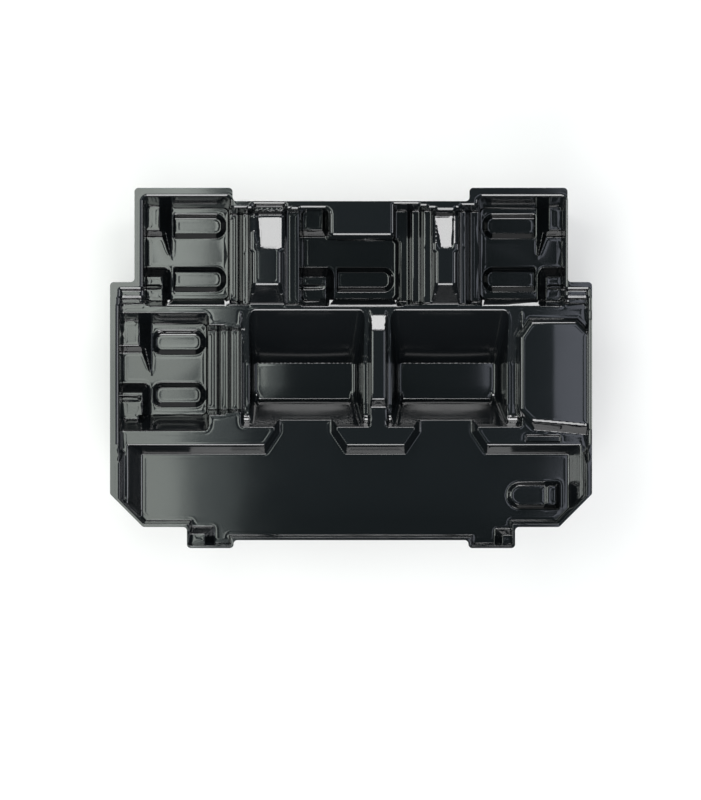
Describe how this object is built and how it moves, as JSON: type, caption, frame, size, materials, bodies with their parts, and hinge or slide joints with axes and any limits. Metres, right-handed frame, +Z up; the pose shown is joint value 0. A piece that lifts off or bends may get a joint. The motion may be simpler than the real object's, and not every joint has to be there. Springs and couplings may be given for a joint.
{
  "type": "thermoformed case tray",
  "caption": "Thermoformed plastic insert tray for a tool case, with moulded pockets for battery packs, cradles, finger ribs and a bench behind a trimmed flange.",
  "frame": {"origin": "middle of the tray's plan outline, at the underside of its lowest floors", "axes": "+X to the right along the long side, +Y to the back with the two ears, +Z up out of the pockets"},
  "size_m": [0.376, 0.281, 0.069],
  "materials": {
    "tray": "high gloss black, moulded"
  },
  "bodies": {
    "root": {"tray": "tray"}
  },
  "joints": []
}
